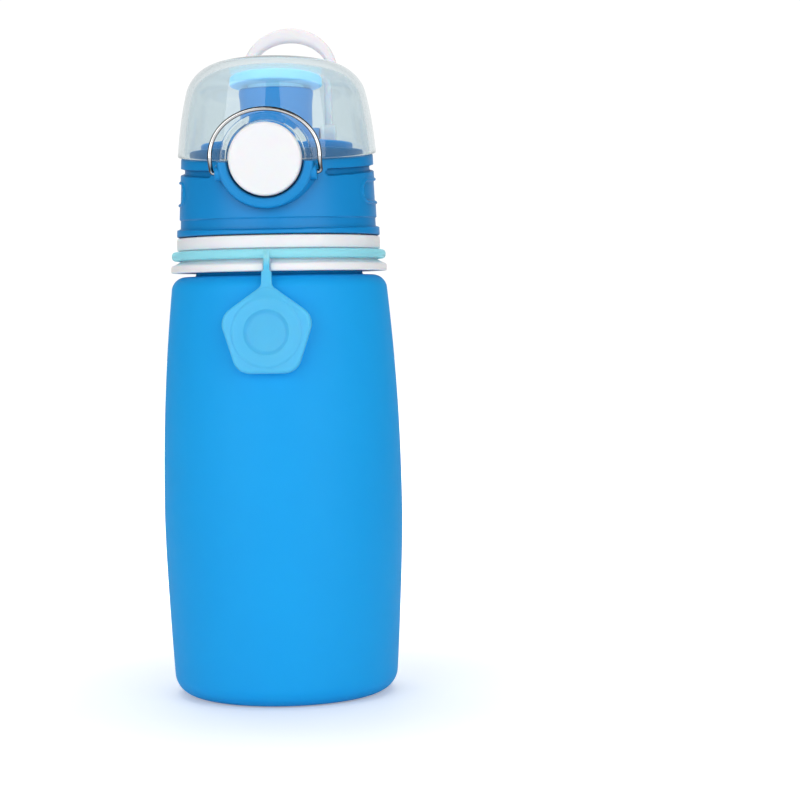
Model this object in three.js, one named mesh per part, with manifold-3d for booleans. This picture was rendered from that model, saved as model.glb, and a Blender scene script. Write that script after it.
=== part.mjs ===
// Folding silicone water bottle with a screw cap, a flip lid, a wire bail and a strap.
// Millimetres, +Z up, front towards -Y. The origin is the centre of the resting face.

import * as THREE from 'three';
import { mergeVertices } from 'three/addons/utils/BufferGeometryUtils.js';
import Module from 'manifold-3d';

const wasm = await Module();
wasm.setup();

// ---- driving dimensions -------------------------------------------------------------------

const GAP = 0.3;                 // clearance between neighbouring pieces
const SEGMENTS = 32;             // facets round a large revolved piece
const FINE = 20;                 // facets round a small revolved piece
const THREAD_STEPS = 20;         // facets per turn of a thread
const SPRING_STEPS = 12;         // facets per turn of a spring

// soft bottle
const BODY = { baseR: 36.6, maxR: 39.4, maxZ: 58, topR: 35.6, topZ: 133, wall: 2 };
const BASE_FILLET = 7;
const SHOULDER = { z: 137.8, fillet: 4.8 };
const NECK = { r: 27.5, lipR: 29.6, lipLow: 143.9, lipHigh: 146.6 };

// collar and the screw neck that stands on it
const COLLAR = { low: 139, lipR: 35.6, lipHigh: 141.4, grooveR: 32.2, grooveLow: 142.7,
  grooveHigh: 146.3, flangeR: 33.4, top: 150.4 };
const SCREW = { rootR: 27, crestR: 28.5, top: 164, pitch: 4, turns: 1.75, startZ: 154 };
const INSERT = { innerR: 22.9, outerR: 25.1, low: 134, flangeR: 26.8, flange: 1.2 };
const GASKET = { innerR: 23.2, outerR: 28.9, low: 165.9, high: 168 };

// strap
const STRAP = { innerR: 32.6, outerR: 35.3, low: 143, high: 146, tailWidth: 1.9, thick: 1.7,
  tailFront: 0.3, tailBack: 1.1, tailEnd: 1.4 };
const TAB = { cornerCircle: 10.9, cornerR: 4, thick: 3.2, behind: 1, drop: 19.4, tailWidth: 3.4,
  tailTop: -0.4, tailBottom: -8, ringR: 11, ringRise: 0.5, dishR: 6.9, dishDepth: 0.8,
  pivotY: -36.8, pivotZ: 139.2, lean: 4.6 };

// cap
const CAP = { low: COLLAR.top + GAP, lipR: 33.5, lip: 1.5, midR: 32.8, midZ: 164, rimR: 32.3,
  aboveRim: 183, boreR: 29.4, rimInnerR: 30.2, ceilingLow: 168.3, ceilingHigh: 170.3, portR: 13.3 };
const SPLIT = { z: 177.5, slope: 4 / 33 };        // plane between cap and lid, lower in front
const BEZEL = { z: 174.1, outerR: 15.5, innerR: 12, front: -35.5, floor: -31, back: -29.6 };
const EAR = { y: -32.5, z: 170, r: 2.6, inner: 13.6, outer: 16.2, rootY: -26.5 };
const DECK = { outerR: 28.8, stepZ: 178.4, innerR: 25, topZ: 181, skirtLow: 171.2, wall: 1.5,
  tubeR: 12.9, tubeLow: 168.6, spoutR: 11.85, spoutBoreR: 9.8, spoutTop: 199 };
const DECK_SEAL = { r: 0.75, centreR: 14, z: 171.4 };
const VENT = { y: 18.6, holeR: 1.7, stemR: 1.3, headR: 3, headHigh: 182.6, low: 174.5 };

// button and latch
const BUTTON = { r: 11.6, face: -37, skirtEnd: -33.3, faceThick: 1.7, innerR: 10.2, edge: 1.2 };
const STEM = { halfWidth: 3.5, low: 170.9, high: 172.9, front: -35, hookFront: -27.2, back: -25.8 };
const HOOK = { top: 180.6, lipLow: 179.3, lipFront: -29 };
const BUTTON_SPRING = { r: 2.5, wireR: 0.25, z: 167.1, front: -34.9, turns: 3 };

// wire bail
const BAIL = { wireR: 0.7, loopR: 17.4, centreZ: 172.4, y: -36, endX: 14.2, riseZ: 175 };

// lid
const LID = { low: SPLIT.z + GAP, rimR: 32.7, cornerCentreR: 20.1, top: 207.3, crown: 0.6,
  cornerR: 10.5, wall: 2, topSlope: -Math.tan(THREE.MathUtils.degToRad(4.9)) };
const ARCH = { outerR: 14.7, innerR: 12.4, topFront: -34.9, lowFront: -34.1, floorFront: -30.8,
  floorBack: -29.3 };
const LUG = { halfWidth: 3.3, front: -29.8, back: -28, low: 177.2, high: 179 };
const PLUG = { r: 15.3, low: 199.4, high: 203.4, postR: 6, postHigh: 204.4, noseR: 9.2,
  noseTipR: 8.2, noseLow: 196.9 };

// hinge and carry loop
const HINGE = { y: 39.5, z: 185.3, pinR: 1.25, holeR: 1.55, pinHalf: 18, armRootY: 30.6 };
const LID_KNUCKLE = { inner: 3.2, outer: 6.2, r: 4.2 };
const CAP_KNUCKLE = { inner: 6.6, outer: 11.8, r: 4.3, armLow: 164, armHigh: 180.4 };
const LID_SPRING = { r: 2.3, wireR: 0.35, half: 2.3, turns: 5, legX: 2.2 };
const LOOP = { barrelInner: 12.2, barrelOuter: 18.4, barrelR: 5.3, halfWidth: 17.1, side: 3.3,
  crown: 5, height: 40.6, depth: 4.5, lean: 12 };

// ---- geometry helpers ---------------------------------------------------------------------

const deg = THREE.MathUtils.degToRad;
const far = 100;                 // larger than any distance across the piece being cut

// Merges equal corners and drops the empty triangles that a profile leaves on the axis.
function weld(geometry) {
  const bare = geometry.clone();
  bare.deleteAttribute('normal');
  bare.deleteAttribute('uv');
  const merged = mergeVertices(bare, 1e-4);
  const corners = merged.index.array;
  const kept = [];
  for (let i = 0; i < corners.length; i += 3) {
    const [a, b, c] = [corners[i], corners[i + 1], corners[i + 2]];
    if (a !== b && b !== c && c !== a) kept.push(a, b, c);
  }
  merged.setIndex(kept);
  return merged;
}

function toSolid(geometry) {
  const closed = weld(geometry);
  return new wasm.Manifold(new wasm.Mesh({
    numProp: 3,
    vertProperties: new Float32Array(closed.attributes.position.array),
    triVerts: new Uint32Array(closed.index.array),
  }));
}

function toGeometry(solid) {
  const raw = solid.getMesh();
  const geometry = new THREE.BufferGeometry();
  geometry.setAttribute('position', new THREE.BufferAttribute(raw.vertProperties, 3));
  geometry.setIndex([...raw.triVerts]);
  return geometry;
}

const join = (first, ...rest) => rest.reduce((sum, next) => sum.add(next), first);
const cut = (first, ...rest) => rest.reduce((sum, next) => sum.subtract(next), first);

// Revolves [radius, z] points round Z. Outer points run upwards, inner points downwards.
function revolve(points, segments = SEGMENTS) {
  const profile = points.map(([r, z]) => new THREE.Vector2(r, z));
  return new THREE.LatheGeometry(profile, segments).rotateX(Math.PI / 2);
}

function ring(innerR, outerR, low, high, segments = SEGMENTS) {
  return revolve([[innerR, low], [outerR, low], [outerR, high], [innerR, high], [innerR, low]],
    segments);
}

function block(x0, x1, y0, y1, z0, z1) {
  return new THREE.BoxGeometry(x1 - x0, y1 - y0, z1 - z0)
    .translate((x0 + x1) / 2, (y0 + y1) / 2, (z0 + z1) / 2);
}

// A cylinder along X or Y between two places on that axis.
function rodX(r, x0, x1, y, z, segments = FINE) {
  return new THREE.CylinderGeometry(r, r, x1 - x0, segments).rotateZ(Math.PI / 2)
    .translate((x0 + x1) / 2, y, z);
}

function rodY(r, y0, y1, x, z, segments = SEGMENTS) {
  return new THREE.CylinderGeometry(r, r, y1 - y0, segments).translate(x, (y0 + y1) / 2, z);
}

// A plate across X whose side outline is given as [y, z] points.
function plateX(outline, x0, x1) {
  const shape = new THREE.Shape(outline.map(([y, z]) => new THREE.Vector2(y, z)));
  return new THREE.ExtrudeGeometry(shape, { depth: x1 - x0, bevelEnabled: false })
    .rotateX(Math.PI / 2).rotateZ(Math.PI / 2).translate(x0, 0, 0);
}

// Points of a quarter-round corner, from angle a0 to a1 in degrees, in the [radius, z] plane.
function corner(centreR, centreZ, r, a0, a1, count = 3) {
  const arc = new THREE.EllipseCurve(centreR, centreZ, r, r, deg(a0), deg(a1), a1 < a0);
  return arc.getPoints(count).map((point) => [point.x, point.y]);
}

// Moves every corner of a geometry by a rule.
function reshape(geometry, rule) {
  const position = geometry.attributes.position;
  const point = new THREE.Vector3();
  for (let i = 0; i < position.count; i += 1) {
    point.fromBufferAttribute(position, i);
    rule(point);
    position.setXYZ(i, point.x, point.y, point.z);
  }
  return geometry;
}

// Winds a section (x = radius, y = height) round Z as a right-handed helix.
function coil(section, turns, pitch, startZ, stepsPerTurn) {
  const straight = new THREE.ExtrudeGeometry(section, {
    depth: turns, steps: Math.round(turns * stepsPerTurn), bevelEnabled: false, curveSegments: 3,
  });
  return reshape(straight, (point) => {
    const angle = 2 * Math.PI * (turns - point.z);
    const z = startZ + point.y + pitch * (turns - point.z);
    point.set(point.x * Math.cos(angle), point.x * Math.sin(angle), z);
  });
}

function disc(centreX, r) {
  const shape = new THREE.Shape();
  shape.absarc(centreX, 0, r, 0, 2 * Math.PI);
  return shape;
}

// A trapezoid thread ridge from its root radius to its crest radius.
function threadSection(rootR, crestR) {
  const [rootHalf, crestHalf] = [0.75, 0.45];
  const outline = [[rootR, -rootHalf], [crestR, -crestHalf], [crestR, crestHalf], [rootR, rootHalf]];
  return new THREE.Shape(outline.map(([x, y]) => new THREE.Vector2(x, y)));
}

// Everything above (or below) the tilted plane between cap and lid.
function besideSplit(above, offset) {
  const box = new THREE.BoxGeometry(far, far, far).translate(0, 0, above ? far / 2 : -far / 2);
  return toSolid(reshape(box, (point) => {
    point.z += SPLIT.z + offset + SPLIT.slope * point.y;
  }));
}

// ---- soft bottle and neck -----------------------------------------------------------------

// Outer radius of the soft body: widest below the middle, drawn in towards both ends.
function bodyRadius(z) {
  if (z < BODY.maxZ) {
    return BODY.maxR - (BODY.maxR - BODY.baseR) * ((BODY.maxZ - z) / BODY.maxZ) ** 1.4;
  }
  const share = (z - BODY.maxZ) / (BODY.topZ - BODY.maxZ);
  return BODY.maxR - (BODY.maxR - BODY.topR) * share ** 2.1;
}

function bodySide(offset, low, high, count) {
  const points = [];
  for (let i = 0; i <= count; i += 1) {
    const z = low + (high - low) * i / count;
    points.push([bodyRadius(z) - offset, z]);
  }
  return points;
}

function siliconeBottle() {
  const { wall } = BODY;
  const inFillet = BASE_FILLET - wall;
  const low = BASE_FILLET;
  const outer = [
    [0, 0],
    ...corner(bodyRadius(low) - BASE_FILLET, low, BASE_FILLET, -90, 0).slice(0, -1),
    ...bodySide(0, low, BODY.topZ, 7),
    ...corner(BODY.topR - SHOULDER.fillet, BODY.topZ, SHOULDER.fillet, 0, 90).slice(1),
    [NECK.r, SHOULDER.z],
    [NECK.r, NECK.lipLow],
    [NECK.lipR, NECK.lipLow],
    [NECK.lipR, NECK.lipHigh],
  ];
  const innerNeckR = NECK.r - wall;
  const inner = [
    [innerNeckR, NECK.lipHigh],
    [innerNeckR, SHOULDER.z - wall],
    ...corner(BODY.topR - SHOULDER.fillet, BODY.topZ, SHOULDER.fillet - wall, 90, 0).slice(0, -1),
    ...bodySide(wall, low, BODY.topZ, 5).reverse(),
    ...corner(bodyRadius(low) - BASE_FILLET, low, inFillet, 0, -90).slice(1),
    [0, wall],
  ];
  return revolve([...outer, ...inner]);
}

function neckInsert() {
  const low = SCREW.top + GAP;
  return revolve([
    [INSERT.innerR, INSERT.low],
    [INSERT.outerR, INSERT.low],
    [INSERT.outerR, low],
    [INSERT.flangeR, low],
    [INSERT.flangeR, low + INSERT.flange],
    [INSERT.innerR, low + INSERT.flange],
    [INSERT.innerR, INSERT.low],
  ]);
}

function collarRing() {
  const entryR = NECK.r + 0.4;
  const boreR = INSERT.outerR + GAP;
  const pocketR = NECK.lipR + 0.4;
  const body = toSolid(revolve([
    [entryR, COLLAR.low],
    [COLLAR.lipR, COLLAR.low],
    [COLLAR.lipR, COLLAR.lipHigh],
    [COLLAR.grooveR, COLLAR.grooveLow],
    [COLLAR.grooveR, COLLAR.grooveHigh],
    [COLLAR.flangeR, COLLAR.grooveHigh],
    [COLLAR.flangeR, COLLAR.top],
    [SCREW.rootR, COLLAR.top],
    [SCREW.rootR, SCREW.top],
    [boreR, SCREW.top],
    [boreR, NECK.lipHigh + GAP],
    [pocketR, NECK.lipHigh + GAP],
    [pocketR, NECK.lipLow - GAP],
    [entryR, NECK.lipLow - GAP],
    [entryR, COLLAR.low],
  ]));
  const ridge = coil(threadSection(SCREW.rootR - 0.5, SCREW.crestR), SCREW.turns, SCREW.pitch,
    SCREW.startZ, THREAD_STEPS);
  const half = STRAP.tailWidth / 2 + 0.35;
  const notch = block(-half, half, -far, -COLLAR.grooveR - 0.6, COLLAR.low - 1,
    COLLAR.grooveLow + 0.2);
  return toGeometry(cut(join(body, toSolid(ridge)), toSolid(notch)));
}

// ---- strap --------------------------------------------------------------------------------

function strapRing() {
  const hoop = toSolid(ring(STRAP.innerR, STRAP.outerR, STRAP.low, STRAP.high));
  const half = STRAP.tailWidth / 2;
  const tail = plateX([
    [-STRAP.innerR - 1.3, STRAP.high - 0.5],
    [-STRAP.outerR - 0.2, STRAP.high - 0.5],
    [TAB.pivotY - STRAP.tailFront, TAB.pivotZ + STRAP.tailEnd + STRAP.thick],
    [TAB.pivotY - STRAP.tailFront, TAB.pivotZ + STRAP.tailEnd],
    [TAB.pivotY + STRAP.tailBack, TAB.pivotZ + STRAP.tailEnd],
    [-STRAP.innerR - 1.3, STRAP.low],
  ].reverse(), -half, half);
  return toGeometry(join(hoop, toSolid(tail)));
}

// The tail and the rounded pentagon, drawn in the XY plane below the flex point.
function strapTab() {
  const pentagon = new THREE.Shape();
  for (let i = 0; i < 5; i += 1) {
    const angle = deg(90 + 72 * i);
    const x = TAB.cornerCircle * Math.cos(angle);
    const y = TAB.cornerCircle * Math.sin(angle) - TAB.drop;
    pentagon.absarc(x, y, TAB.cornerR, angle - deg(36), angle + deg(36));
  }
  const flat = { depth: TAB.thick, bevelEnabled: false, curveSegments: 4 };
  const plate = toSolid(new THREE.ExtrudeGeometry(pentagon, flat).translate(0, 0, -TAB.behind));
  const tailHalf = STRAP.thick / 2;
  const tail = toSolid(block(-TAB.tailWidth / 2, TAB.tailWidth / 2, TAB.tailBottom, TAB.tailTop,
    -tailHalf, tailHalf));
  const face = TAB.thick - TAB.behind;
  const round = (r, height) => new THREE.CylinderGeometry(r, r, 2 * height, FINE)
    .rotateX(Math.PI / 2).translate(0, -TAB.drop, face);
  const rim = round(TAB.ringR, TAB.ringRise);
  const dish = round(TAB.dishR, TAB.dishDepth);
  return toGeometry(cut(join(plate, tail, toSolid(rim)), toSolid(dish)));
}

// ---- cap ----------------------------------------------------------------------------------

function capGasket() {
  return ring(GASKET.innerR, GASKET.outerR, GASKET.low, GASKET.high);
}

// Arm and barrel that carry the hinge pin, one on each side.
function capKnuckle(side) {
  const [x0, x1] = side > 0 ? [CAP_KNUCKLE.inner, CAP_KNUCKLE.outer]
    : [-CAP_KNUCKLE.outer, -CAP_KNUCKLE.inner];
  const barrel = rodX(CAP_KNUCKLE.r, x0, x1, HINGE.y, HINGE.z, FINE);
  const back = HINGE.y + CAP_KNUCKLE.r;
  const arm = plateX([
    [HINGE.armRootY, CAP_KNUCKLE.armLow],
    [HINGE.armRootY + 1.8, CAP_KNUCKLE.armLow],
    [back - 1.5, HINGE.z - 8],
    [back - 0.1, HINGE.z - 1],
    [HINGE.y, HINGE.z],
    [HINGE.y - CAP_KNUCKLE.r + 0.6, HINGE.z - 2],
    [HINGE.armRootY + 2.8, CAP_KNUCKLE.armHigh],
    [HINGE.armRootY, CAP_KNUCKLE.armHigh],
  ], x0, x1);
  return join(toSolid(barrel), toSolid(arm));
}

// Ear that takes one bent end of the wire bail.
function bailEar(side) {
  const [x0, x1] = side > 0 ? [EAR.inner, EAR.outer] : [-EAR.outer, -EAR.inner];
  const [h0, h1] = side > 0 ? [EAR.inner + 0.2, EAR.outer + 1] : [-EAR.outer - 1, -EAR.inner - 0.2];
  const knob = toSolid(rodX(EAR.r, x0, x1, EAR.y, EAR.z, 20));
  const root = toSolid(block(x0, x1, EAR.y, EAR.rootY, EAR.z - EAR.r + 0.2, EAR.z + EAR.r - 0.2));
  return { knob: join(knob, root), hole: toSolid(rodX(BAIL.wireR + GAP, h0, h1, EAR.y, EAR.z, 16)) };
}

function capShell() {
  const skirt = toSolid(revolve([
    [CAP.boreR, CAP.low],
    [CAP.lipR, CAP.low],
    [CAP.lipR, CAP.low + CAP.lip],
    [CAP.lipR - 0.5, CAP.low + CAP.lip + 0.8],
    [CAP.midR, CAP.midZ],
    [CAP.rimR, CAP.aboveRim],
    [CAP.rimInnerR, CAP.aboveRim],
    [CAP.rimInnerR, CAP.ceilingHigh],
    [CAP.portR, CAP.ceilingHigh],
    [CAP.portR, CAP.ceilingLow],
    [CAP.boreR, CAP.ceilingLow],
    [CAP.boreR, CAP.low],
  ]));
  const below = besideSplit(false, 0);
  const boss = toSolid(rodY(BEZEL.outerR, BEZEL.front, BEZEL.back, 0, BEZEL.z));
  const well = toSolid(rodY(BEZEL.innerR, -far, BEZEL.floor, 0, BEZEL.z));
  const slotHalf = STEM.halfWidth + 0.4;
  const slot = toSolid(block(-slotHalf, slotHalf, -far, STEM.hookFront, STEM.low - GAP, far * 2));
  const ridge = toSolid(coil(threadSection(CAP.boreR + 0.5, SCREW.crestR - 0.7), SCREW.turns,
    SCREW.pitch, SCREW.startZ + SCREW.pitch / 2, THREAD_STEPS));
  const ears = [bailEar(1), bailEar(-1)];
  const outside = join(skirt, boss).intersect(below);
  const whole = join(outside, ridge, capKnuckle(1), capKnuckle(-1), ears[0].knob, ears[1].knob);
  const pinHole = toSolid(rodX(HINGE.holeR, -far / 2, far / 2, HINGE.y, HINGE.z, 20));
  return toGeometry(cut(whole, well, slot, pinHole, ears[0].hole, ears[1].hole));
}

function spoutDeck() {
  const deck = toSolid(revolve([
    [DECK.spoutBoreR, DECK.tubeLow],
    [DECK.tubeR, DECK.tubeLow],
    [DECK.tubeR, DECK.stepZ - DECK.wall],
    [DECK.outerR - DECK.wall, DECK.stepZ - DECK.wall],
    [DECK.outerR - DECK.wall, DECK.skirtLow],
    [DECK.outerR, DECK.skirtLow],
    [DECK.outerR, DECK.stepZ],
    [DECK.innerR, DECK.stepZ],
    [DECK.innerR, DECK.topZ],
    [DECK.spoutR + 1, DECK.topZ],
    [DECK.spoutR, DECK.topZ + 1],
    [DECK.spoutR, DECK.spoutTop - 3],
    [DECK.spoutR + 0.4, DECK.spoutTop - 0.8],
    [DECK.spoutR - 0.4, DECK.spoutTop],
    [DECK.spoutBoreR, DECK.spoutTop],
    [DECK.spoutBoreR, DECK.tubeLow],
  ]));
  const half = STEM.halfWidth + 1.2;
  const notch = toSolid(block(-half, half, -far, STEM.back + 2.4, DECK.tubeLow, DECK.spoutTop));
  const vent = toSolid(new THREE.CylinderGeometry(VENT.holeR, VENT.holeR, 20, 16)
    .rotateX(Math.PI / 2).translate(0, VENT.y, DECK.topZ));
  return toGeometry(cut(deck, notch, vent));
}

function deckSeal() {
  const section = disc(0, DECK_SEAL.r).getPoints(3);
  return revolve(section.map(({ x, y }) => [DECK_SEAL.centreR + x, DECK_SEAL.z + y]), FINE);
}

function ventValve() {
  return revolve([
    [0, VENT.low],
    [VENT.stemR + 1, VENT.low],
    [VENT.stemR, VENT.low + 1.4],
    [VENT.stemR, DECK.topZ + GAP],
    [VENT.headR, DECK.topZ + GAP],
    [VENT.headR - 0.6, VENT.headHigh],
    [0, VENT.headHigh],
  ], 20).translate(0, VENT.y, 0);
}

// ---- button, latch and bail ---------------------------------------------------------------

// Revolved about the button's own axis: face outwards, hollow behind.
function pushButton() {
  const depth = BUTTON.skirtEnd - BUTTON.face;
  const ceiling = depth - BUTTON.faceThick;
  return revolve([
    [0, ceiling],
    [BUTTON.innerR, ceiling],
    [BUTTON.innerR, 0],
    [BUTTON.r, 0],
    [BUTTON.r, depth - BUTTON.edge],
    ...corner(BUTTON.r - BUTTON.edge, depth - BUTTON.edge, BUTTON.edge, 0, 90, 3).slice(1),
    [0, depth],
  ]).rotateX(Math.PI / 2);
}

function latchHook() {
  return plateX([
    [STEM.front, STEM.low],
    [STEM.back, STEM.low],
    [STEM.back, HOOK.top],
    [HOOK.lipFront + 0.8, HOOK.top],
    [HOOK.lipFront, HOOK.lipLow],
    [STEM.hookFront, HOOK.lipLow],
    [STEM.hookFront, STEM.high],
    [STEM.front, STEM.high],
  ], -STEM.halfWidth, STEM.halfWidth);
}

function buttonSpring() {
  const { r, wireR, turns } = BUTTON_SPRING;
  const length = BEZEL.floor - GAP - BUTTON_SPRING.front - 2 * wireR;
  return coil(disc(r, wireR), turns, length / turns, wireR, SPRING_STEPS).rotateX(Math.PI / 2);
}

// One half of the bail, from the bent end in the ear up to the top of the loop.
function bailHalf(side) {
  const at = (x, y, z) => new THREE.Vector3(side * x, y, z);
  const round = 0.5523 * BAIL.loopR;
  const shoulder = at(BAIL.loopR, BAIL.y, BAIL.riseZ);
  return [
    new THREE.LineCurve3(at(BAIL.endX, EAR.y, EAR.z), at(BAIL.loopR - 1, EAR.y, EAR.z)),
    new THREE.QuadraticBezierCurve3(at(BAIL.loopR - 1, EAR.y, EAR.z), at(BAIL.loopR, EAR.y, EAR.z),
      at(BAIL.loopR, EAR.y - 0.7, EAR.z + 1)),
    new THREE.QuadraticBezierCurve3(at(BAIL.loopR, EAR.y - 0.7, EAR.z + 1),
      at(BAIL.loopR, BAIL.y, EAR.z + 3.2), shoulder),
    new THREE.CubicBezierCurve3(shoulder, at(BAIL.loopR, BAIL.y, BAIL.riseZ + round - 1.3),
      at(round, BAIL.y, BAIL.centreZ + BAIL.loopR),
      at(0, BAIL.y, BAIL.centreZ + BAIL.loopR)),
  ];
}

function bailWire() {
  const path = new THREE.CurvePath();
  for (const piece of bailHalf(-1)) path.add(piece);
  for (const piece of bailHalf(1).reverse()) {
    const ends = piece.type === 'CubicBezierCurve3' ? [piece.v3, piece.v2, piece.v1, piece.v0]
      : piece.type === 'QuadraticBezierCurve3' ? [piece.v2, piece.v1, piece.v0]
        : [piece.v2, piece.v1];
    path.add(new piece.constructor(...ends));
  }
  return new THREE.ExtrudeGeometry(disc(0, BAIL.wireR), {
    steps: 36, extrudePath: path, curveSegments: 3, bevelEnabled: false,
  });
}

// ---- lid ----------------------------------------------------------------------------------

// Tilts a level revolved lid: its rim follows the split plane and its roof falls to the back.
function tiltLid(point) {
  const share = THREE.MathUtils.clamp((point.z - LID.low) / (LID.top - LID.low), 0, 1);
  point.z += point.y * ((1 - share) * SPLIT.slope + share * LID.topSlope);
}

function lidOutline(offset) {
  const cornerR = LID.cornerR - offset;
  const centreZ = LID.top - LID.crown - LID.cornerR;
  return [
    [LID.rimR - offset, LID.low],
    [LID.rimR - offset - 0.6, LID.low + 7],
    ...corner(LID.cornerCentreR, centreZ, cornerR, 10, 82, 5),
    [0, LID.top - offset],
  ];
}

function lidCover() {
  const level = revolve([...lidOutline(0), ...lidOutline(LID.wall).reverse(), lidOutline(0)[0]]);
  const dome = toSolid(reshape(level, tiltLid));
  const above = besideSplit(true, GAP);
  // the arch leans back a little, so that it clears the bail when the lid swings up
  const leanRate = (ARCH.topFront - ARCH.lowFront) / ARCH.outerR;
  const archOuter = toSolid(reshape(rodY(ARCH.outerR, ARCH.lowFront, ARCH.floorBack, 0, BEZEL.z),
    (point) => {
      if (point.y < ARCH.floorFront) point.y += leanRate * Math.max(0, point.z - BEZEL.z);
    }));
  const archInner = toSolid(rodY(ARCH.innerR, -far, ARCH.floorFront, 0, BEZEL.z));
  const lug = toSolid(block(-LUG.halfWidth, LUG.halfWidth, LUG.front, LUG.back, LUG.low, LUG.high));
  const knuckles = [-1, 1].map((side) => {
    const [x0, x1] = side > 0 ? [LID_KNUCKLE.inner, LID_KNUCKLE.outer]
      : [-LID_KNUCKLE.outer, -LID_KNUCKLE.inner];
    const barrel = toSolid(rodX(LID_KNUCKLE.r, x0, x1, HINGE.y, HINGE.z, FINE));
    const arm = toSolid(plateX([
      [HINGE.y, HINGE.z - LID_KNUCKLE.r + 0.8],
      [HINGE.y, HINGE.z + LID_KNUCKLE.r - 0.1],
      [HINGE.armRootY + 0.6, HINGE.z + 8],
      [HINGE.armRootY, HINGE.z + 6],
      [HINGE.armRootY, HINGE.z - 1],
    ].reverse(), x0, x1));
    return join(barrel, arm);
  });
  const shell = cut(join(dome, archOuter.intersect(above)), archInner);
  const pinHole = toSolid(rodX(HINGE.holeR, -far / 2, far / 2, HINGE.y, HINGE.z, 20));
  return toGeometry(cut(join(shell, lug, ...knuckles), pinHole));
}

function spoutPlug() {
  return revolve([
    [0, PLUG.noseLow],
    [PLUG.noseTipR, PLUG.noseLow],
    [PLUG.noseR, PLUG.low],
    [PLUG.r, PLUG.low],
    [PLUG.r, PLUG.high],
    [PLUG.postR, PLUG.high],
    [PLUG.postR, PLUG.postHigh],
    [0, PLUG.postHigh],
  ], FINE + 8);
}

// ---- hinge and carry loop -----------------------------------------------------------------

function hingePin() {
  return rodX(HINGE.pinR, -HINGE.pinHalf, HINGE.pinHalf, HINGE.y, HINGE.z, 20);
}

// Torsion spring round the pin, with one leg on the lid and one on the cap.
function lidSpring() {
  const { r, wireR, half, turns, legX } = LID_SPRING;
  const pitch = 2 * (half - wireR) / turns;
  const wound = toSolid(coil(disc(r, wireR), turns, pitch, -half + wireR, SPRING_STEPS)
    .rotateY(Math.PI / 2).translate(0, HINGE.y, HINGE.z));
  const leg = (x, length, angle) => toSolid(
    new THREE.CylinderGeometry(wireR, wireR, length, 10).translate(0, length / 2, 0)
      .rotateX(deg(angle)).translate(x, HINGE.y - 1, HINGE.z - (angle > 180 ? 2 : -2)));
  return toGeometry(join(wound, leg(-legX + 0.2, 6, 165), leg(legX - 0.2, 6, 210)));
}

// The loop stands in the XZ plane about its own hinge axis before it leans back.
function carryHandle() {
  const archZ = LOOP.height - LOOP.halfWidth;
  const innerX = LOOP.halfWidth - LOOP.side;
  const outline = new THREE.Shape();
  outline.moveTo(LOOP.halfWidth, 0);
  outline.lineTo(LOOP.halfWidth, archZ);
  outline.absarc(0, archZ, LOOP.halfWidth, 0, Math.PI);
  outline.lineTo(-LOOP.halfWidth, 0);
  outline.lineTo(-innerX, 0);
  outline.lineTo(-innerX, archZ);
  outline.absellipse(0, archZ, innerX, LOOP.halfWidth - LOOP.crown, Math.PI, 0, true);
  outline.lineTo(innerX, 0);
  const band = toSolid(new THREE.ExtrudeGeometry(outline, {
    depth: LOOP.depth, bevelEnabled: false, curveSegments: 8,
  }).translate(0, 0, -LOOP.depth / 2).rotateX(Math.PI / 2));
  const barrels = [[LOOP.barrelInner, LOOP.barrelOuter], [-LOOP.barrelOuter, -LOOP.barrelInner]]
    .map(([x0, x1]) => toSolid(rodX(LOOP.barrelR, x0, x1, 0, 0, FINE)));
  const hole = toSolid(rodX(HINGE.holeR, -far / 2, far / 2, 0, 0, 20));
  return toGeometry(cut(join(band, ...barrels), hole));
}

// ---- assembly -----------------------------------------------------------------------------

const COLOURS = {
  silicone: { color: 0x22a0f0, roughness: 0.6, metalness: 0 },
  strap: { color: 0x96e4fc, roughness: 0.35, metalness: 0 },
  cap: { color: 0x2e86d6, roughness: 0.35, metalness: 0 },
  white: { color: 0xf4f6f8, roughness: 0.35, metalness: 0 },
  clear: { color: 0xbfd3da, roughness: 0.05, metalness: 0 },
  seal: { color: 0xe8eef2, roughness: 0.6, metalness: 0 },
  steel: { color: 0xc8ccd0, roughness: 0.25, metalness: 1 },
};

const group = new THREE.Group();

function add(name, geometry, finish) {
  const mesh = new THREE.Mesh(weld(geometry), new THREE.MeshStandardMaterial(COLOURS[finish]));
  mesh.name = name;
  group.add(mesh);
  return mesh;
}

add('silicone_bottle', siliconeBottle(), 'silicone');
add('neck_insert', neckInsert(), 'white');
add('collar_ring', collarRing(), 'white');
add('strap_ring', strapRing(), 'strap');

const tab = add('strap_tab', strapTab(), 'strap');
tab.position.set(0, TAB.pivotY, TAB.pivotZ);
tab.rotation.x = Math.PI / 2 - deg(TAB.lean);

add('cap_gasket', capGasket(), 'seal');
add('cap_shell', capShell(), 'cap');
add('spout_deck', spoutDeck(), 'cap');
add('deck_seal', deckSeal(), 'seal');
add('vent_valve', ventValve(), 'seal');

add('push_button', pushButton(), 'white').position.set(0, BUTTON.skirtEnd, BEZEL.z);
add('latch_hook', latchHook(), 'cap');
add('button_spring', buttonSpring(), 'steel')
  .position.set(0, BEZEL.floor - GAP, BUTTON_SPRING.z);
add('bail_wire', bailWire(), 'steel');

add('lid_cover', lidCover(), 'clear');
add('spout_plug', spoutPlug(), 'strap');
add('hinge_pin', hingePin(), 'steel');
add('lid_spring', lidSpring(), 'steel');

const handle = add('carry_handle', carryHandle(), 'white');
handle.position.set(0, HINGE.y, HINGE.z);
handle.rotation.x = -deg(LOOP.lean);

export default group;
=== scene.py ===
# Looks of a folding silicone water bottle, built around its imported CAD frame.
# Outlines are in millimetres in the frame's axes (+Z up, front towards -Y) and become metres in new_mesh().
import math

import bmesh
import bpy
from mathutils import Matrix, Vector


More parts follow.
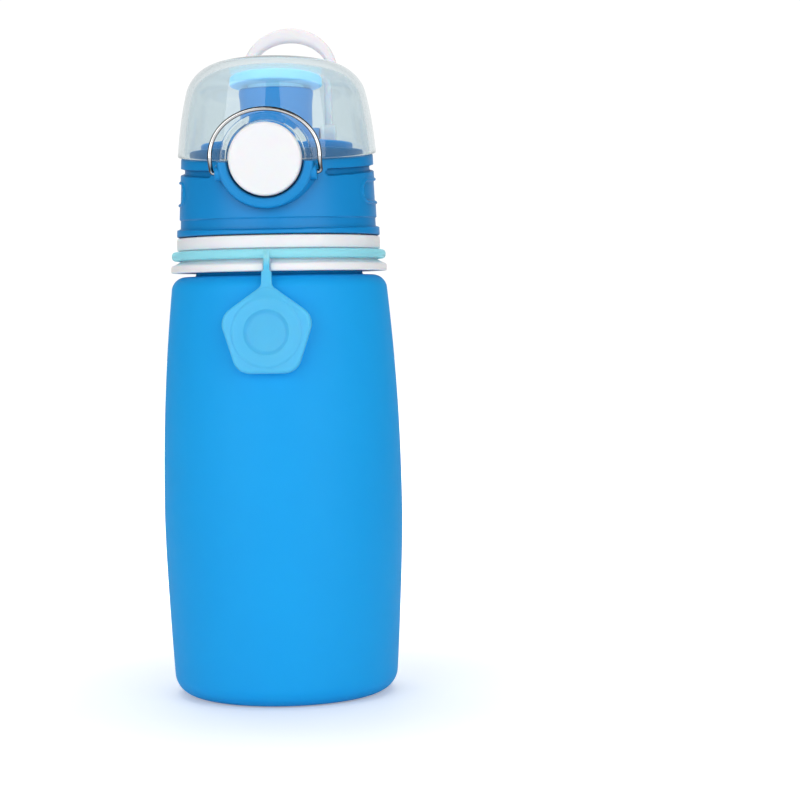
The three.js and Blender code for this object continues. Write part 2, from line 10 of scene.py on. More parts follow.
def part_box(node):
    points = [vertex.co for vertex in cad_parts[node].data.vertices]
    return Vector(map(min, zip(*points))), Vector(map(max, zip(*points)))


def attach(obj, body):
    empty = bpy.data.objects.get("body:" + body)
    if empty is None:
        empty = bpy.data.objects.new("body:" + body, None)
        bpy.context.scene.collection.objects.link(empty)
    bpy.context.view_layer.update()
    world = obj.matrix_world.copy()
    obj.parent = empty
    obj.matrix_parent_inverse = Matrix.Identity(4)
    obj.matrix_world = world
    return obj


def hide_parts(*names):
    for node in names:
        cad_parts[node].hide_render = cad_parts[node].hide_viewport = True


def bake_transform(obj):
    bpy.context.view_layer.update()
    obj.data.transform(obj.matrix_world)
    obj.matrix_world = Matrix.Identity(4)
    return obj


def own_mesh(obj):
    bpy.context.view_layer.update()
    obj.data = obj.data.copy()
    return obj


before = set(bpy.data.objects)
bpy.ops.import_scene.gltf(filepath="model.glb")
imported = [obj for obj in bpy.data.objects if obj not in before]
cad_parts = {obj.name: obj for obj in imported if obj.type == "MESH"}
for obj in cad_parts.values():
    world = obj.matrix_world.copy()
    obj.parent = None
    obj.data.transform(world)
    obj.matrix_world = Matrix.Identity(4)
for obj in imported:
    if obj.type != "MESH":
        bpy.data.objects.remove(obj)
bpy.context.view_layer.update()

MM = 0.001
SLIVER = 0.002                   # faces and edges thinner than this are dropped


def low(node, axis):
    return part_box(node)[0][axis] / MM


def high(node, axis):
    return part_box(node)[1][axis] / MM


X, Y, Z = 0, 1, 2

# ---- places, read from the frame ----------------------------------------------------------------

STRAP_THICK = 3.0                # height of the strap's hoop
BODY_TOP = high("silicone_bottle", Z)
COLLAR_LOW = low("collar_ring", Z)
COLLAR_R = high("collar_ring", X)
NECK_TOP = high("collar_ring", Z)
STRAP_HIGH = high("strap_ring", Z)
STRAP_LOW = STRAP_HIGH - STRAP_THICK
STRAP_R = high("strap_ring", X)
CAP_LOW = low("cap_shell", Z)
HINGE_Y = (low("hinge_pin", Y) + high("hinge_pin", Y)) / 2
HINGE_Z = (low("hinge_pin", Z) + high("hinge_pin", Z)) / 2
PIN_HALF = high("hinge_pin", X)
BUTTON_R = high("push_button", X)
BUTTON_FACE = low("push_button", Y)
BUTTON_BACK = high("push_button", Y)
BUTTON_Z = (low("push_button", Z) + high("push_button", Z)) / 2
LID_R = high("lid_cover", X)
DECK_LOW = low("spout_deck", Z)
SPOUT_TOP = high("spout_deck", Z)
DECK_R = high("spout_deck", X)
VENT_Y = (low("vent_valve", Y) + high("vent_valve", Y)) / 2

# ---- shape sizes, in millimetres ----------------------------------------------------------------

WALL = 2.0
BODY_BASE_R = 36.6
BODY_MAX_R = high("silicone_bottle", X)
BODY_MAX_Z = 58.0
SHOULDER_R = 35.6
SHOULDER_Z = BODY_TOP - 8.8
SHOULDER_ROUND = 4.8
SIDE_TOP = SHOULDER_Z - SHOULDER_ROUND
FOOT_ROUND = 7.0
NECK_R = 27.5
SPLIT_Z = 177.5                  # height on the axis of the plane between cap and lid
SPLIT_SLOPE = 4.0 / 33.0         # that plane is lower in front
WELL_R = 12.15
BEZEL_R = 15.5
BEZEL_FRONT = BUTTON_FACE + 1.5
WELL_FLOOR = BUTTON_FACE + 6.0
PITCH = 4.0
THREAD_Z = 154.0
THREAD_TURNS = 1.75
EAR_Y = -32.5
EAR_Z = 170.0
LID_LOW = SPLIT_Z + 0.2
LID_TOP = 207.3
PIN_HOLE_R = 1.55
BAIL_WIRE_R = 0.7
ROOF_SLOPE = -math.tan(math.radians(4.9))

# ---- mesh helpers -------------------------------------------------------------------------------


def new_mesh(name, points, faces):
    mesh = bpy.data.meshes.new(name)
    mesh.from_pydata([(x * MM, y * MM, z * MM) for x, y, z in points], [], faces)
    made = bpy.data.objects.new(name, mesh)
    bpy.context.scene.collection.objects.link(made)
    return made


def skin(name, rows, loop=False):
    """A solid through rings of points. A row of one point is a pole, and open ends are capped."""
    points = []
    starts = []
    for row in rows:
        starts.append((len(points), len(row)))
        points.extend(row)
    pairs = list(zip(starts, starts[1:]))
    if loop:
        pairs.append((starts[-1], starts[0]))
    faces = []
    for (a, size_a), (b, size_b) in pairs:
        count = max(size_a, size_b)
        for j in range(count):
            k = (j + 1) % count
            if size_a == 1:
                faces.append((a, b + k, b + j))
            elif size_b == 1:
                faces.append((a + j, a + k, b))
            else:
                faces.append((a + j, a + k, b + k, b + j))
    if not loop:
        first, size_first = starts[0]
        last, size_last = starts[-1]
        if size_first > 1:
            faces.append(tuple(first + size_first - 1 - j for j in range(size_first)))
        if size_last > 1:
            faces.append(tuple(last + j for j in range(size_last)))
    made = new_mesh(name, points, faces)
    solid = bmesh.new()
    solid.from_mesh(made.data)
    if solid.calc_volume(signed=True) < 0:
        made.data.flip_normals()
    solid.free()
    return made


def soft(points, closed=True, steps=5):
    """Rounds an outline of (x, y, cut) corners by a curve from `cut` before each one to `cut` after it."""
    out = []
    count = len(points)
    for i, (x, y, cut) in enumerate(points):
        here = Vector((x, y))
        if not cut or (not closed and i in (0, count - 1)):
            out.append((x, y))
            continue
        before = Vector(points[i - 1][:2]) - here
        after = Vector(points[(i + 1) % count][:2]) - here
        start = here + before * min(cut / before.length, 0.49)
        end = here + after * min(cut / after.length, 0.49)
        for step in range(steps + 1):
            t = step / steps
            out.append(tuple(start * (1 - t) ** 2 + here * 2 * t * (1 - t) + end * t * t))
    return out


def arc(centre_x, centre_y, radius, start, end, steps=10):
    turns = [math.radians(start + (end - start) * i / steps) for i in range(steps + 1)]
    return [(centre_x + radius * math.cos(t), centre_y + radius * math.sin(t)) for t in turns]


def lathe(name, outline, count=160, rule=None):
    """Revolves (radius, z) points round Z: outer points run upwards. rule moves each finished point."""
    rows = []
    for r, z in outline:
        if r < 1e-6:
            row = [(0.0, 0.0, z)]
        else:
            turns = [2 * math.pi * j / count for j in range(count)]
            row = [(r * math.cos(t), r * math.sin(t), z) for t in turns]
        rows.append([rule(*p) for p in row] if rule else row)
    return skin(name, rows, loop=outline[0][0] > 1e-6)


def cylinder(name, radius, z0, z1, count):
    return lathe(name, [(0, z0), (radius, z0), (radius, z1), (0, z1)], count)


def plate(name, outline, x0, x1, bevel=0.0):
    """A plate across X whose side outline runs anticlockwise through (y, z) points."""
    rows = [[(x, y, z) for y, z in outline] for x in (x0, x1)]
    made = skin(name, rows)
    if bevel:
        edge = made.modifiers.new("edge", "BEVEL")
        edge.width = bevel * MM
        edge.segments = 3
        edge.limit_method = "ANGLE"
        bake(made)
    return made


def box(name, x0, x1, y0, y1, z0, z1):
    return plate(name, [(y0, z0), (y1, z0), (y1, z1), (y0, z1)], x0, x1)


def bake(piece):
    """Makes the modified shape the piece's own mesh."""
    graph = bpy.context.evaluated_depsgraph_get()
    mesh = bpy.data.meshes.new_from_object(piece.evaluated_get(graph), depsgraph=graph)
    piece.modifiers.clear()
    piece.data = mesh


def clean(piece):
    """Removes the slivers that cutting leaves."""
    solid = bmesh.new()
    solid.from_mesh(piece.data)
    bmesh.ops.triangulate(solid, faces=[face for face in solid.faces if len(face.verts) > 4])
    bmesh.ops.dissolve_degenerate(solid, dist=SLIVER * MM, edges=solid.edges)
    solid.to_mesh(piece.data)
    solid.free()


def combine(piece, operation, *tools):
    """Cuts tools from a piece, or joins them to it, as solids."""
    for tool in tools:
        step = piece.modifiers.new("solid", "BOOLEAN")
        step.solver = "MANIFOLD"
        step.operation = operation
        step.object = tool
    bpy.context.view_layer.update()
    bake(piece)
    for tool in tools:
        bpy.data.objects.remove(tool)
    return piece


def turned(piece, matrix):
    """Moves a piece's own points by a matrix whose lengths are in millimetres."""
    moved = matrix.copy()
    moved.translation = matrix.translation * MM
    piece.data.transform(moved)
    return piece


def facing_front(piece, y, z):
    """Lays a lathe along Y so that its +Z end faces the front, with its origin at that y and z."""
    return turned(piece, Matrix.Translation((0, y, z)) @ Matrix.Rotation(math.radians(90), 4, "X"))


def along_x(name, radius, x0, x1, y, z, edge=0.3, count=48):
    """A rod along X with softened ends."""
    outline = soft([(0, 0, 0), (radius, 0, edge), (radius, x1 - x0, edge), (0, x1 - x0, 0)], closed=False)
    rod = lathe(name, outline, count)
    return turned(rod, Matrix.Translation((x0, y, z)) @ Matrix.Rotation(math.radians(90), 4, "Y"))


def wire(name, path, radius, count=12):
    """A round wire along a list of points, with flat ends."""
    rows = []
    side = Vector((0, 0, 1)).cross(path[1] - path[0])
    if side.length < 1e-6:
        side = Vector((1, 0, 0))
    for i, here in enumerate(path):
        along = (path[min(i + 1, len(path) - 1)] - path[max(i - 1, 0)]).normalized()
        side = (side - along * side.dot(along)).normalized()
        up = along.cross(side)
        turns = [2 * math.pi * j / count for j in range(count)]
        rows.append([tuple(here + (side * math.cos(t) + up * math.sin(t)) * radius) for t in turns])
    return skin(name, rows)


def step(value, width):
    """0 below zero, 1 above it, with a smooth rise over the width."""
    t = max(0.0, min(1.0, value / width + 0.5))
    return t * t * (3 - 2 * t)


def thread(name, root_r, crest_r, start_z, count=72):
    """A trapezoid ridge wound as a right-handed helix."""
    section = [(root_r, -0.75), (crest_r, -0.45), (crest_r, 0.45), (root_r, 0.75)]
    rows = []
    total = int(count * THREAD_TURNS)
    for i in range(total + 1):
        t = 2 * math.pi * i / count
        taper = min(1.0, i / 6, (total - i) / 6)
        ring = []
        for r, dz in section:
            reach = root_r + (r - root_r) * taper
            ring.append((reach * math.cos(t), reach * math.sin(t), start_z + dz + PITCH * i / count))
        rows.append(ring)
    return skin(name, rows)


def split_block(above, offset=0.0):
    """Everything above or below the tilted plane between cap and lid."""
    reach = 60.0
    far = 80.0 if above else -80.0
    rows = []
    for height in sorted((0.0, far)):
        ring = []
        for x, y in ((-reach, -reach), (reach, -reach), (reach, reach), (-reach, reach)):
            ring.append((x, y, SPLIT_Z + offset + SPLIT_SLOPE * y + height))
        rows.append(ring)
    return skin("split_block", rows)


# ---- material helpers ---------------------------------------------------------------------------


class Look:
    """A node material or a world, with short calls to add nodes and join them."""

    def __init__(self, name, world=None):
        self.holder = world or bpy.data.materials.new(name)
        self.holder.use_nodes = True
        self.tree = self.holder.node_tree
        self.tree.nodes.clear()
        self.output = self.add("OutputWorld" if world else "OutputMaterial")
        self.place = self.add("TexCoord").outputs["Object"]

    def join(self, source, target):
        self.tree.links.new(source, target)

    def add(self, kind, **values):
        node = self.tree.nodes.new("ShaderNode" + kind)
        for key, value in values.items():
            label = key if key in node.inputs.keys() else key.replace("_", " ")
            if label in node.inputs.keys():
                self.feed(value, node.inputs[label])
            else:
                setattr(node, key, value)
        return node

    def feed(self, value, socket):
        """Joins another node's output to a socket, or sets the socket to a plain value."""
        if isinstance(value, bpy.types.NodeSocket):
            self.join(value, socket)
        else:
            socket.default_value = value

    def noise(self, scale, detail=3.0, roughness=0.55):
        return self.add("TexNoise", Vector=self.place, Scale=scale, Detail=detail,
                        Roughness=roughness).outputs["Fac"]

    def ramp(self, value, from_low, from_high, to_low=0.0, to_high=1.0, kind="LINEAR"):
        """Maps one range of values to another, and holds its ends."""
        return self.add("MapRange", Value=value, From_Min=from_low, From_Max=from_high, To_Min=to_low,
                        To_Max=to_high, interpolation_type=kind).outputs["Result"]

    def spread(self, value, low_value, high_value):
        """Maps a 0 to 1 value to a narrow range."""
        return self.ramp(value, 0.0, 1.0, low_value, high_value)

    def maths(self, operation, first, second):
        node = self.add("Math", operation=operation)
        self.feed(first, node.inputs[0])
        self.feed(second, node.inputs[1])
        return node.outputs["Value"]

    def mixed(self, factor, first, second):
        """Between two shaders. None stands for no shader at all."""
        node = self.add("MixShader", Fac=factor)
        for shader, socket in ((first, node.inputs[1]), (second, node.inputs[2])):
            if shader:
                self.join(shader.outputs[0], socket)
        return node

    def blend(self, factor, first, second):
        node = self.add("Mix", data_type="RGBA")
        for value, index in ((factor, 0), (first, 6), (second, 7)):
            self.feed(value, node.inputs[index])
        return node.outputs[2]

    def shaded(self, base, depth, darkest):
        """Paints shade into a colour in creases narrower than the depth."""
        open_air = self.add("AmbientOcclusion", samples=6, Distance=depth * MM).outputs["AO"]
        node = self.add("Mix", data_type="RGBA", blend_type="MULTIPLY")
        node.inputs[0].default_value = 1.0
        self.join(base, node.inputs[6])
        self.join(self.ramp(open_air, 0.0, 1.0, darkest), node.inputs[7])
        return node.outputs[2]

    def relief(self, height, distance, strength=1.0, edge=0.0):
        """A bump from a height, over edges rounded by the shader where edge is more than 0."""
        node = self.add("Bump", Height=height, Distance=distance * MM, Strength=strength)
        if edge:
            rounded = self.add("Bevel", samples=4, Radius=edge * MM)
            self.join(rounded.outputs["Normal"], node.inputs["Normal"])
        return node.outputs["Normal"]

    def surface(self, shader):
        self.join(shader.outputs[0], self.output.inputs["Surface"])
        return self.holder


def colour(red, green, blue):
    """A display colour, 0 to 255, as the linear colour that shaders take."""
    linear = []
    for part in (red, green, blue):
        c = part / 255
        linear.append(c / 12.92 if c <= 0.04045 else ((c + 0.055) / 1.055) ** 2.4)
    return (*linear, 1.0)


def body_silicone():
    look = Look("body_silicone")
    mottle = look.blend(look.noise(22, 4), colour(8, 158, 232), colour(16, 168, 240))
    # painted sheen: the colour turns lighter blue where the surface is seen side-on
    painted_sheen = look.add("Fresnel", IOR=1.25).outputs["Fac"]
    base = look.blend(look.spread(painted_sheen, 0.0, 0.12), mottle, colour(90, 180, 245))
    rough = look.spread(look.noise(160, 5), 0.5, 0.64)
    normal = look.relief(look.noise(2600, 3), 0.02, 0.5)
    shader = look.add("BsdfPrincipled", Base_Color=base, Roughness=rough, Normal=normal,
                      Subsurface_Weight=0.1, Subsurface_Scale=0.003, Specular_IOR_Level=0.2)
    shader.inputs["Subsurface Radius"].default_value = (0.15, 0.5, 1.0)
    return look.surface(shader)


def strap_silicone():
    look = Look("strap_silicone")
    mottle = look.blend(look.noise(90, 3), colour(92, 203, 249), colour(104, 211, 252))
    # painted light: the hoop above the tab is painted lighter, in place of light coming through the thin
    # silicone over the white collar
    height = look.add("SeparateXYZ", Vector=look.place).outputs["Z"]
    painted_ring_light = look.ramp(height, (STRAP_LOW - 2.5) * MM, (STRAP_LOW + 0.5) * MM, 0.0, 0.95)
    base = look.blend(painted_ring_light, mottle, colour(172, 240, 255))
    rough = look.spread(look.noise(400, 4), 0.34, 0.48)
    normal = look.relief(look.noise(1800, 2), 0.015, 0.5, edge=0.25)
    solid = look.add("BsdfPrincipled", Base_Color=base, Roughness=rough, Normal=normal,
                     Subsurface_Weight=0.5, Subsurface_Scale=0.003, Specular_IOR_Level=0.4)
    solid.inputs["Subsurface Radius"].default_value = (0.4, 0.9, 1.0)
    through = look.add("BsdfTransparent", Color=colour(200, 250, 255))
    return look.surface(look.mixed(0.33, solid, through))


def plug_silicone():
    look = Look("plug_silicone")
    base = look.blend(look.noise(90, 3), colour(158, 216, 244), colour(166, 222, 248))
    rough = look.spread(look.noise(400, 4), 0.4, 0.5)
    normal = look.relief(look.noise(1800, 2), 0.015, 0.5, edge=0.25)
    # painted light: the plug glows a little from its own colour, to lift it out of the shade under the
    # lid's roof
    shader = look.add("BsdfPrincipled", Base_Color=base, Roughness=rough, Normal=normal,
                      Subsurface_Weight=0.3, Subsurface_Scale=0.003, Specular_IOR_Level=0.3,
                      Emission_Color=base, Emission_Strength=0.25)
    return look.surface(shader)


def cap_plastic():
    look = Look("cap_plastic")
    base = look.blend(look.noise(35, 3), colour(4, 134, 204), colour(10, 143, 213))
    # painted shade in the cap's creases and grooves, such as below the bezel
    base = look.shaded(base, 3.5, 0.35)
    rough = look.spread(look.noise(500, 4), 0.36, 0.46)
    grain = look.noise(3200, 2)
    normal = look.relief(grain, 0.012, 0.6, edge=0.3)
    shader = look.add("BsdfPrincipled", Base_Color=base, Roughness=rough, Normal=normal,
                      Subsurface_Weight=0.05, Subsurface_Scale=0.002, Specular_IOR_Level=0.3)
    return look.surface(shader)


def white_plastic():
    look = Look("white_plastic")
    base = look.blend(look.noise(40, 3), colour(238, 234, 236), colour(243, 239, 241))
    rough = look.spread(look.noise(600, 4), 0.26, 0.36)
    normal = look.relief(look.noise(2400, 2), 0.01, 0.5, edge=0.25)
    shader = look.add("BsdfPrincipled", Base_Color=base, Roughness=rough, Normal=normal,
                      Subsurface_Weight=0.35, Subsurface_Scale=0.004, Specular_IOR_Level=0.35)
    return look.surface(shader)


def clear_plastic():
    look = Look("clear_plastic")
    rough = look.spread(look.noise(120, 4), 0.0, 0.03)
    glass = look.add("BsdfPrincipled", Base_Color=(0.765, 0.84, 0.863, 1), Roughness=rough, IOR=1.56,
                     Specular_IOR_Level=0.9, Transmission_Weight=1.0)
    clear = look.add("BsdfTransparent", Color=(0.93, 0.97, 0.975, 1))
    # light passes straight through on its way to other pieces, and after many bounces in the wall
    ray = look.add("LightPath").outputs
    light = look.maths("MAXIMUM", ray["Is Shadow Ray"], ray["Is Diffuse Ray"])
    deep = look.maths("GREATER_THAN", ray["Ray Depth"], 5.5)
    return look.surface(look.mixed(look.maths("MAXIMUM", light, deep), glass, clear))


def seal_rubber():
    look = Look("seal_rubber")
    base = look.blend(look.noise(80, 3), colour(226, 234, 240), colour(236, 242, 246))
    normal = look.relief(look.noise(1500, 3), 0.02, 0.5, edge=0.2)
    shader = look.add("BsdfPrincipled", Base_Color=base, Roughness=0.55, Normal=normal,
                      Subsurface_Weight=0.4, Subsurface_Scale=0.002)
    return look.surface(shader)


def steel_wire():
    look = Look("steel_wire")
    # painted shade and reflection: the wire's colour turns dark brown where it is seen side-on
    painted_dark_edge = look.ramp(look.add("LayerWeight", Blend=0.5).outputs["Facing"], 0.08, 0.34)
    mottle = look.blend(look.noise(300, 3), (0.74, 0.73, 0.72, 1), (0.84, 0.83, 0.82, 1))
    base = look.blend(painted_dark_edge, mottle, (0.07, 0.055, 0.05, 1))
    rough = look.spread(look.noise(900, 4), 0.1, 0.18)
    shader = look.add("BsdfPrincipled", Base_Color=base, Metallic=1.0, Roughness=rough,
                      Normal=look.relief(look.noise(1400, 3), 0.004, 0.5))
    return look.surface(shader)


LOOKS = {
    "body_silicone": body_silicone(),
    "strap_silicone": strap_silicone(),
    "plug_silicone": plug_silicone(),
    "cap_plastic": cap_plastic(),
    "white_plastic": white_plastic(),
    "clear_plastic": clear_plastic(),
    "seal_rubber": seal_rubber(),
    "steel_wire": steel_wire(),
}


def dress(piece, slot, nodes, body=None, sharp=38, look=None):
    """Gives a finished piece its material and its body, and hides the CAD nodes that it stands for."""
    clean(piece)
    piece.data.materials.clear()
    piece.data.materials.append(LOOKS[look or slot])
    piece.data.shade_smooth()
    piece.data.set_sharp_from_angle(angle=math.radians(sharp))
    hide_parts(*nodes)
    if body:
        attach(piece, body)


# ---- soft bottle --------------------------------------------------------------------------------


def body_radius(z):
    if z < BODY_MAX_Z:
        return BODY_MAX_R - (BODY_MAX_R - BODY_BASE_R) * ((BODY_MAX_Z - z) / BODY_MAX_Z) ** 1.4
    share = (z - BODY_MAX_Z) / (SIDE_TOP - BODY_MAX_Z)
    return BODY_MAX_R - (BODY_MAX_R - SHOULDER_R) * min(share, 1.0) ** 2.1


def make_bottle():
    heights = [FOOT_ROUND + (SIDE_TOP - FOOT_ROUND) * i / 60 for i in range(61)]
    foot_r = body_radius(FOOT_ROUND) - FOOT_ROUND
    recess = 0.9
    corner_r = SHOULDER_R - SHOULDER_ROUND
    lip_r = NECK_R + 2.1
    lip_low = BODY_TOP - 2.7
    outer = [(0, recess), (foot_r - 9, recess), (foot_r - 7.5, 0.5), (foot_r - 6.5, 0.0)]
    outer += arc(foot_r, FOOT_ROUND, FOOT_ROUND, -90, 0, 12)[:-1]
    outer += [(body_radius(z), z) for z in heights]
    outer += arc(corner_r, SIDE_TOP, SHOULDER_ROUND, 0, 90, 12)[1:]
    outer += soft([(SHOULDER_R - 5, SHOULDER_Z, 0), (NECK_R, SHOULDER_Z, 0.8), (NECK_R, lip_low, 0),
                   (lip_r, lip_low, 0.5), (lip_r, BODY_TOP, 0.5),
                   (NECK_R - WALL, BODY_TOP, 0.3), (NECK_R - WALL, SHOULDER_Z - WALL, 1.0),
                   (corner_r, SHOULDER_Z - WALL, 0)], closed=False)[1:]
    inner = arc(corner_r, SIDE_TOP, SHOULDER_ROUND - WALL, 90, 0, 8)[1:-1]
    inner += [(body_radius(z) - WALL, z) for z in reversed(heights)]
    inner += arc(foot_r, FOOT_ROUND, FOOT_ROUND - WALL, 0, -90, 10)[1:]
    inner += [(0, WALL)]
    bottle = lathe("soft_bottle", outer + inner, 192)
    dress(bottle, "body_silicone", ["silicone_bottle"])
    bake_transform(bottle)


# ---- neck, collar and seals ---------------------------------------------------------------------


def make_neck_insert():
    base = low("neck_insert", Z)
    top = high("neck_insert", Z)
    inner = 22.9
    outer = 25.1
    rim = high("neck_insert", X)
    outline = soft([(inner, base, 0.4), (outer, base, 0.4), (outer, top - 1.2, 0), (rim, top - 1.2, 0.3),
                    (rim, top, 0.5), (inner, top, 0.5)])
    dress(lathe("neck_sleeve", outline, 128), "white_plastic", ["neck_insert"], "collar")


def make_collar():
    entry = NECK_R + 0.4
    bore = 25.4
    groove = STRAP_R - 3.1
    screw = 27.0
    flange = COLLAR_LOW + 11.4
    ledge = STRAP_HIGH + 0.3
    outline = soft([
        (entry, COLLAR_LOW, 0.4), (COLLAR_R, COLLAR_LOW, 0.7), (COLLAR_R, COLLAR_LOW + 2.3, 0.7),
        (groove + 1.3, COLLAR_LOW + 3.1, 0.8), (groove, COLLAR_LOW + 4.0, 0.6), (groove, ledge, 0.4),
        (33.4, ledge, 0.5), (33.55, flange - 1.6, 0.4), (33.4, flange, 0.6), (screw, flange, 0.6),
        (screw, NECK_TOP, 0.5), (bore, NECK_TOP, 0.3), (bore, BODY_TOP + 0.3, 0), (30.0, BODY_TOP + 0.3, 0),
        (30.0, BODY_TOP - 3.0, 0), (entry, BODY_TOP - 3.0, 0),
    ])
    collar = lathe("collar", outline, 192)
    combine(collar, "UNION", thread("thread", screw - 0.5, 28.5, THREAD_Z))
    notch = box("notch", -1.25, 1.25, -60, -groove - 0.5, COLLAR_LOW - 1, COLLAR_LOW + 4.2)
    combine(collar, "DIFFERENCE", notch)
    dress(collar, "white_plastic", ["collar_ring"], "collar")


def make_gasket():
    base = low("cap_gasket", Z)
    top = high("cap_gasket", Z)
    outline = soft([(23.2, base, 0.5), (28.9, base, 0.5), (28.9, top, 0.5), (23.2, top, 0.5)])
    dress(lathe("gasket", outline, 128), "seal_rubber", ["cap_gasket"], "cap_seal")


# ---- strap --------------------------------------------------------------------------------------

PIVOT_Y = -36.8
PIVOT_Z = 139.2
TAB_LEAN = math.radians(4.6)
TAB_DROP = 19.7
CORNER_CIRCLE = 9.0
CORNER_R = 5.6
FAR_FROM_EDGE = 99


def pentagon_reach(turn):
    """Distance from the centre to the rounded pentagon's edge. A corner points up, at 90 degrees."""
    sector = math.radians(72)
    off = (turn - math.radians(90) + sector / 2) % sector - sector / 2
    flat = CORNER_CIRCLE * math.cos(sector / 2) + CORNER_R
    side_reach = flat / math.cos(abs(off) - sector / 2)
    along = side_reach * math.sin(sector / 2 - abs(off))
    if along <= CORNER_CIRCLE * math.sin(sector / 2):
        return side_reach
    lift = CORNER_CIRCLE * math.cos(off)
    return lift + math.sqrt(CORNER_R ** 2 - (CORNER_CIRCLE * math.sin(off)) ** 2)


def tab_height(radius, reach, along):
    """Front relief of the tab: dished centre, raised ring, rounded border, thin neck at the tail."""
    full = 2.15
    dish = 0.75
    ring = 0.5
    border = 1.3
    height = full - dish * (1 - step(radius - 6.5, 1.0))
    height += ring * (step(radius - 7.0, 0.6) - step(radius - 10.9, 0.7))
    edge = max(0.0, border - (reach - radius)) / border
    height -= border * (1 - math.sqrt(max(0.0, 1 - edge * edge)))
    thin = 0.8 - 0.4 * edge ** 3
    share = step(along - 7.6, 3.6)
    return height * share + thin * (1 - share)


def to_tab(x, along, out):
    """A point of the tab: along runs down from the flex point, out towards the front."""
    y = PIVOT_Y - along * math.sin(TAB_LEAN) - out * math.cos(TAB_LEAN)
    z = PIVOT_Z - along * math.cos(TAB_LEAN) + out * math.sin(TAB_LEAN)
    return (x, y, z)


def strap_tab():
    count = 120
    back = -1.0
    turns = [2 * math.pi * j / count for j in reversed(range(count))]

    def edge_row(inset, out=None):
        """A ring that follows the pentagon's edge, at a depth or on the front relief."""
        row = []
        for t in turns:
            reach = pentagon_reach(t)
            radius = reach - inset
            along = TAB_DROP - radius * math.sin(t)
            depth = tab_height(radius, reach, along) if out is None else out
            row.append(to_tab(radius * math.cos(t), along, depth))
        return row

    def inner_row(radius):
        row = []
        for t in turns:
            along = TAB_DROP - radius * math.sin(t)
            row.append(to_tab(radius * math.cos(t), along, tab_height(radius, FAR_FROM_EDGE, along)))
        return row

    rows = [[to_tab(0, TAB_DROP, back)]]
    rows += [edge_row(inset, out) for inset, out in ((0.9, back), (0.35, -0.85), (0.0, -0.4))]
    rows += [edge_row(inset) for inset in (0.0, 0.02, 0.1, 0.22, 0.4, 0.65, 0.95, 1.3)]
    rows += [inner_row(0.4 * i) for i in range(28, 0, -1)]
    rows.append([to_tab(0, TAB_DROP, tab_height(0, FAR_FROM_EDGE, TAB_DROP))])
    return skin("tab", rows)


def strap_tail():
    """The tail runs from inside the hoop, out over the collar's lip, then down into the tab."""
    thick = 0.8
    line = [(0.95, -STRAP_R + 1.3, STRAP_LOW + 1.9), (0.95, -STRAP_R + 0.4, STRAP_LOW + 1.7),
            (0.95, -STRAP_R - 0.4, STRAP_LOW + 0.6), (0.95, PIVOT_Y + 0.6, STRAP_LOW - 1.0),
            (0.95, PIVOT_Y + 0.15, PIVOT_Z + 1.6), (0.97, PIVOT_Y, PIVOT_Z + 0.5)]
    for along, half in ((0.15, 1.0), (0.4, 1.5), (0.7, 1.62), (1.6, 1.64), (2.6, 1.64), (3.6, 1.66),
                        (4.4, 1.72), (5.0, 1.95), (5.6, 2.5), (6.2, 3.4)):
        x, y, z = to_tab(half, along, 0)
        line.append((x, y, z))
    rows = []
    for i, (half, y, z) in enumerate(line):
        before = line[max(i - 1, 0)]
        after = line[min(i + 1, len(line) - 1)]
        along = Vector((0, after[1] - before[1], after[2] - before[2])).normalized()
        out = Vector((0, along.z, -along.y))
        sunk = max(0, i - len(line) + 4)
        deep = thick - 0.12 * sunk
        section = soft([(-half, -deep, 0.4), (half, -deep, 0.4), (half, deep, 0.4), (-half, deep, 0.4)],
                       steps=4)
        rows.append([(u, y + out.y * v, z + out.z * v) for u, v in section])
    return skin("tail", rows)


def make_strap():
    hoop_outline = soft([(STRAP_R - 2.7, STRAP_LOW, 0.9), (STRAP_R, STRAP_LOW, 1.45),
                         (STRAP_R, STRAP_HIGH, 1.45), (STRAP_R - 2.7, STRAP_HIGH, 0.9)])
    strap = lathe("strap", hoop_outline, 192)
    combine(strap, "UNION", strap_tail(), strap_tab())
    dress(strap, "strap_silicone", ["strap_ring", "strap_tab"])
    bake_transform(strap)


# ---- cap ----------------------------------------------------------------------------------------

CAP_SIDE_R = 32.75
CAP_DRAFT = 0.045                # the side leans in by this much for each millimetre of height
PANEL_TURN = math.radians(97)    # the middle of each side panel, from the front
PANEL_Z = 165.25
GROOVE_START = math.radians(35.5)
GROOVE_END = math.radians(144)


def stadium(along, across, half_length, half_height):
    """Signed distance to a stadium: negative inside."""
    beyond = max(abs(along) - (half_length - half_height), 0.0)
    return math.hypot(beyond, across) - half_height


def drawn_in(distance, edge_r):
    """How far the side draws in at a distance from an edge that is rounded by edge_r."""
    if distance >= edge_r:
        return 0.0
    return edge_r - math.sqrt(max(0.0, edge_r ** 2 - (edge_r - distance) ** 2))


